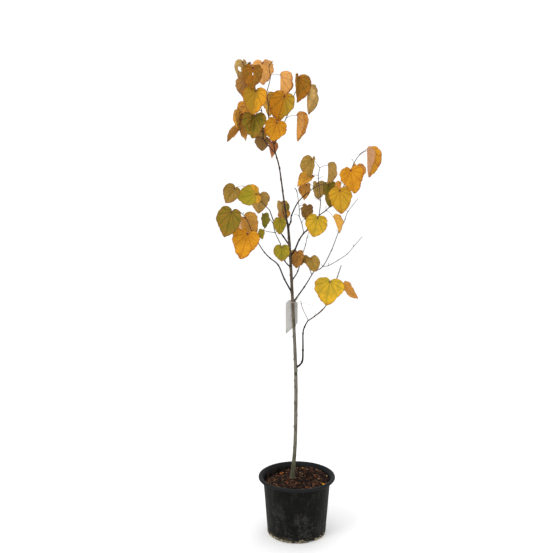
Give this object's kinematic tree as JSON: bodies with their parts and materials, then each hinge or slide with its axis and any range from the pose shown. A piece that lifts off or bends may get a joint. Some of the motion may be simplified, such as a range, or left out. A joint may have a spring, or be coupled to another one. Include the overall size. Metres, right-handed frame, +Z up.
{
  "type": "potted redbud tree",
  "caption": "Young redbud tree in a round nursery pot: a slim leaning trunk, rising boughs and an open, sparse crown of hanging heart-shaped autumn leaves.",
  "frame": {"origin": "centre of the pot's flat underside", "axes": "+Z up, -Y towards the front, +X to the right as seen from the front"},
  "size_m": [0.6328, 0.3969, 1.9451],
  "materials": {
    "pot_plastic": "black nursery plastic, dusty, slightly glossy on the lip",
    "potting_mix": "damp reddish-brown bark chips",
    "trunk_bark": "smooth grey-olive bark with small pale pores",
    "bough_bark": "dark brown-grey young bark",
    "leaf": "satin autumn leaves, yellow, orange, olive and tan",
    "bare_twig": "thin brown twigs"
  },
  "bodies": {
    "root": {"pot": "pot_plastic", "potting_mix": "potting_mix", "trunk": "trunk_bark", "bough_low_right": "bough_bark", "bough_bare_right": "bough_bark", "bough_left": "bough_bark", "bough_back": "bough_bark", "bough_front_left": "bough_bark", "bough_right": "bough_bark", "bough_upper_left": "bough_bark", "bough_upper_right": "bough_bark", "foliage_low_right": "leaf", "foliage_left": "leaf", "foliage_inner_right": "leaf", "foliage_right_outer": "leaf", "foliage_right_tall": "leaf", "foliage_right_middle": "leaf", "foliage_upper_right": "leaf", "foliage_upper_left": "leaf", "foliage_front_left": "leaf", "foliage_trunk_top": "leaf", "foliage_top_left": "leaf", "foliage_top_centre": "leaf", "foliage_top_right": "leaf", "twigs_bare_right": "bare_twig", "twigs_back": "bare_twig"}
  },
  "joints": []
}
